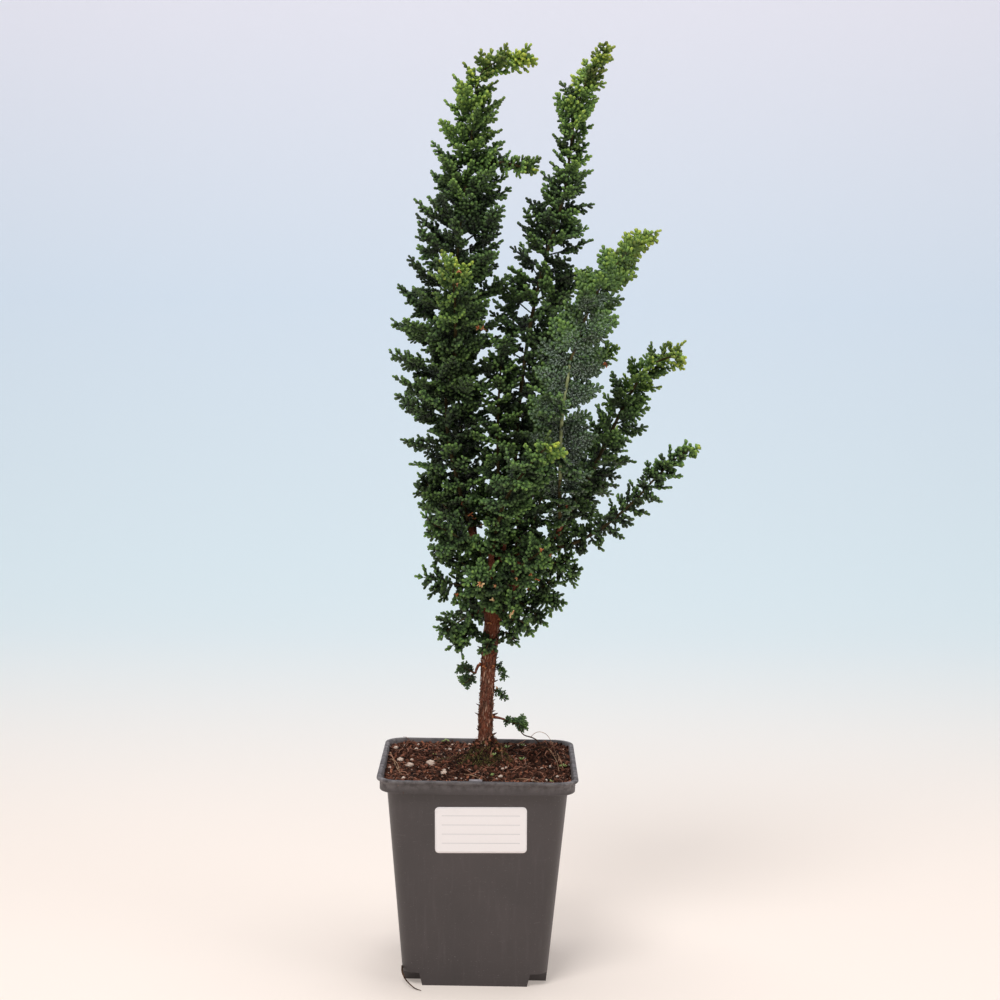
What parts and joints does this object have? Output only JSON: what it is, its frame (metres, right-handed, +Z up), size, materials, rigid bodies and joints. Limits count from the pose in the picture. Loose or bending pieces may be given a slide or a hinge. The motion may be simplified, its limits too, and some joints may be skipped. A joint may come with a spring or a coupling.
{
  "type": "hinoki cypress bonsai",
  "caption": "Young dwarf hinoki cypress with upright plumes of blunt scale-leaf sprays on a forked trunk, growing in a square tapered nursery pot of dark plastic.",
  "frame": {"origin": "middle of the pot's underside, on the surface it stands on", "axes": "+Z up along the trunk, -Y toward the viewer and the label, +X to the label's right"},
  "size_m": [0.1772, 0.13, 0.5194],
  "materials": {
    "pot_plastic": "satin injection-moulded dark grey",
    "label_paper": "smooth white sticker",
    "soil": "moist peat and bark with perlite",
    "bark": "fibrous red-brown bark",
    "foliage_dark": "dark green scale leaves",
    "foliage_mid": "green scale leaves",
    "foliage_blue": "green scale leaves with pale undersides"
  },
  "bodies": {
    "root": {"pot": "pot_plastic", "label": "label_paper", "soil": "soil", "trunk": "bark", "left_leader_plume": "foliage_dark", "right_leader_plume": "foliage_dark", "front_right_plume": "foliage_blue", "right_arching_plume": "foliage_mid", "low_right_plume": "foliage_dark", "front_plume": "foliage_mid", "inner_plume": "foliage_dark", "back_left_plume": "foliage_dark", "back_right_plume": "foliage_dark", "back_far_right_plume": "foliage_mid", "back_low_plume": "foliage_dark", "tuft_left_upper": "foliage_mid", "tuft_left_mid": "foliage_mid", "tuft_left_front": "foliage_mid", "tuft_left_low": "foliage_mid", "tuft_front": "foliage_mid", "tuft_front_right": "foliage_mid", "tuft_right_mid": "foliage_mid", "tuft_right_upper": "foliage_mid", "tuft_right_low": "foliage_mid", "tuft_back": "foliage_mid", "tuft_back_low": "foliage_mid", "shoot_left": "foliage_mid", "shoot_right_upper": "foliage_mid", "shoot_right_mid": "foliage_mid", "shoot_right_low": "foliage_mid"}
  },
  "joints": []
}
